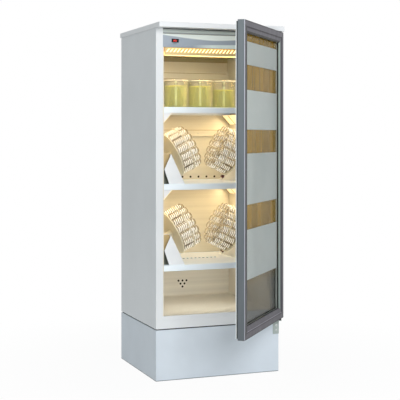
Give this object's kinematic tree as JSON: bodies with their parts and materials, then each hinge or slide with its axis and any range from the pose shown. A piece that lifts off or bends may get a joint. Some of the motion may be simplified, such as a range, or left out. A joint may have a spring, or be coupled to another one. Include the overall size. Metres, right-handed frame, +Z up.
{
  "type": "climate chamber",
  "caption": "Upright cabinet on a plinth with a hinged glass door, slotted lamp canopy, shelves with tilted vial carousels and lidded jars, and a cooling unit in the base.",
  "frame": {"origin": "on the floor under the middle of the cabinet's footprint", "axes": "+X to the right seen from the front, +Y to the back, +Z up; the door faces -Y"},
  "size_m": [0.6136, 1.0232, 1.592],
  "materials": {
    "cabinet_paint": "smooth satin powder coat",
    "plinth_paint": "smooth satin powder coat",
    "cap_white": "smooth, faint gloss",
    "deck_dark": "matt",
    "galvanised": "dull zinc",
    "liner_white": "moulded, soft gloss",
    "foam": "rigid foam",
    "fascia_grey": "glossy printed front",
    "controller_black": "glossy",
    "key_grey": "matt",
    "switch_black": "glossy",
    "canopy_grey": "satin",
    "tube_glass": "frosted, lit",
    "diffuser": "opal",
    "duct_white": "satin powder coat",
    "shelf_white": "satin powder coat",
    "lamp_white": "satin powder coat",
    "frame_white": "satin powder coat",
    "clip_steel": "plain",
    "fin_aluminium": "plain",
    "fan_black": "matt",
    "shell_black": "thick paint",
    "tray_grey": "matt",
    "inlet_black": "matt",
    "door_metal": "anodised, satin",
    "pane_glass": "clear float glass",
    "spacer_metal": "plain",
    "frosted_film": "frosted",
    "gasket_white": "soft",
    "bracket_white": "satin",
    "bush_black": "matt",
    "motor_metal": "plain",
    "carousel_white": "moulded",
    "vial_glass": "clear tubes with pale medium",
    "knob_red": "glossy",
    "jar_glass": "clear",
    "culture": "clear yellow-green liquid",
    "lid_white": "matt"
  },
  "bodies": {
    "cabinet": {"back_rail": "duct_white", "base_pan": "galvanised", "carousel_frames": "frame_white", "circulation_fan_frame": "fan_black", "compressor": "shell_black", "condenser": "shell_black", "condenser_shroud": "galvanised", "control_fascia": "fascia_grey", "controller": "controller_black", "corner_lamps": "lamp_white", "deck_plate": "deck_dark", "drip_tray": "tray_grey", "duct_panel": "duct_white", "evaporator": "fin_aluminium", "front_sill": "cabinet_paint", "gearmotors": "motor_metal", "header_trim": "cabinet_paint", "hinge_brackets": "bracket_white", "inner_liner": "liner_white", "insulation": "foam", "jar_lids": "lid_white", "jar_liquid": "culture", "jars": "jar_glass", "lamp_canopy": "canopy_grey", "lamp_diffusers": "diffuser", "lamp_tubes": "tube_glass", "plinth_shell": "plinth_paint", "power_inlet": "inlet_black", "rear_cladding": "galvanised", "rear_grille": "galvanised", "shelf_clips": "clip_steel", "shelf_lower": "shelf_white", "shelf_middle": "shelf_white", "shelf_upper": "shelf_white", "side_panels": "cabinet_paint", "top_cap": "cap_white"},
    "door": {"door_frame": "door_metal", "door_panes": "pane_glass", "pane_spacer": "spacer_metal", "frosted_bands": "frosted_film", "door_gasket": "gasket_white", "hinge_bushes": "bush_black"},
    "circulation_rotor": {"circulation_fan": "fan_black"},
    "condenser_rotor": {"condenser_fan": "fin_aluminium"},
    "carousel_lower_left": {"carousel_lower_left": "carousel_white", "vials_lower_left": "vial_glass"},
    "carousel_lower_right": {"carousel_lower_right": "carousel_white", "vials_lower_right": "vial_glass"},
    "carousel_upper_left": {"carousel_upper_left": "carousel_white", "vials_upper_left": "vial_glass"},
    "carousel_upper_right": {"carousel_upper_right": "carousel_white", "vials_upper_right": "vial_glass"},
    "key_up": {"key_up": "key_grey"},
    "key_down": {"key_down": "key_grey"},
    "switch_lights": {"switch_lights": "switch_black"},
    "switch_drives": {"switch_drives": "switch_black"},
    "switch_power": {"switch_power": "switch_black"},
    "speed_knob_lower": {"speed_knob_lower": "knob_red"},
    "speed_knob_upper": {"speed_knob_upper": "knob_red"}
  },
  "joints": [
    {"name": "door_hinge", "type": "hinge", "parent": "cabinet", "child": "door", "pos_m": [0.292, -0.289, 0.9095], "axis": [0, 0, 1], "range_deg": [-49.3, 70.7]},
    {"name": "lower_left_spin", "type": "hinge", "parent": "cabinet", "child": "carousel_lower_left", "pos_m": [-0.157, -0.065, 0.637], "axis": [0.8988, 0, 0.4384], "continuous": true},
    {"name": "lower_right_spin", "type": "hinge", "parent": "cabinet", "child": "carousel_lower_right", "pos_m": [0.157, -0.065, 0.637], "axis": [-0.8988, 0, 0.4384], "continuous": true},
    {"name": "upper_left_spin", "type": "hinge", "parent": "cabinet", "child": "carousel_upper_left", "pos_m": [-0.157, -0.065, 1], "axis": [0.8988, 0, 0.4384], "continuous": true},
    {"name": "upper_right_spin", "type": "hinge", "parent": "cabinet", "child": "carousel_upper_right", "pos_m": [0.157, -0.065, 1], "axis": [-0.8988, 0, 0.4384], "continuous": true},
    {"name": "circulation_fan_spin", "type": "hinge", "parent": "cabinet", "child": "circulation_rotor", "pos_m": [0, 0.2145, 0.358], "axis": [0, 1, 0], "continuous": true},
    {"name": "condenser_fan_spin", "type": "hinge", "parent": "cabinet", "child": "condenser_rotor", "pos_m": [-0.13, 0.025, 0.082], "axis": [0, 1, 0], "continuous": true},
    {"name": "key_up_press", "type": "slide", "parent": "cabinet", "child": "key_up", "axis": [0, 0.9987, 0.0508], "range_m": [0, 0.0012], "stiffness_N_per_m": 300, "springref_m": -0.0005},
    {"name": "key_down_press", "type": "slide", "parent": "cabinet", "child": "key_down", "axis": [0, 0.9987, 0.0508], "range_m": [0, 0.0012], "stiffness_N_per_m": 300, "springref_m": -0.0005},
    {"name": "switch_lights_press", "type": "slide", "parent": "cabinet", "child": "switch_lights", "axis": [0, 0.9987, 0.0508], "range_m": [0, 0.0012], "stiffness_N_per_m": 300, "springref_m": -0.0005},
    {"name": "switch_drives_press", "type": "slide", "parent": "cabinet", "child": "switch_drives", "axis": [0, 0.9987, 0.0508], "range_m": [0, 0.0012], "stiffness_N_per_m": 300, "springref_m": -0.0005},
    {"name": "switch_power_press", "type": "slide", "parent": "cabinet", "child": "switch_power", "axis": [0, 0.9987, 0.0508], "range_m": [0, 0.0012], "stiffness_N_per_m": 300, "springref_m": -0.0005},
    {"name": "speed_knob_lower_turn", "type": "hinge", "parent": "cabinet", "child": "speed_knob_lower", "pos_m": [0.16454, 0.081, 0.527], "axis": [-0.8988, 0, 0.4384], "range_deg": [-150, 150]},
    {"name": "speed_knob_upper_turn", "type": "hinge", "parent": "cabinet", "child": "speed_knob_upper", "pos_m": [0.16454, 0.081, 0.89], "axis": [-0.8988, 0, 0.4384], "range_deg": [-150, 150]}
  ]
}
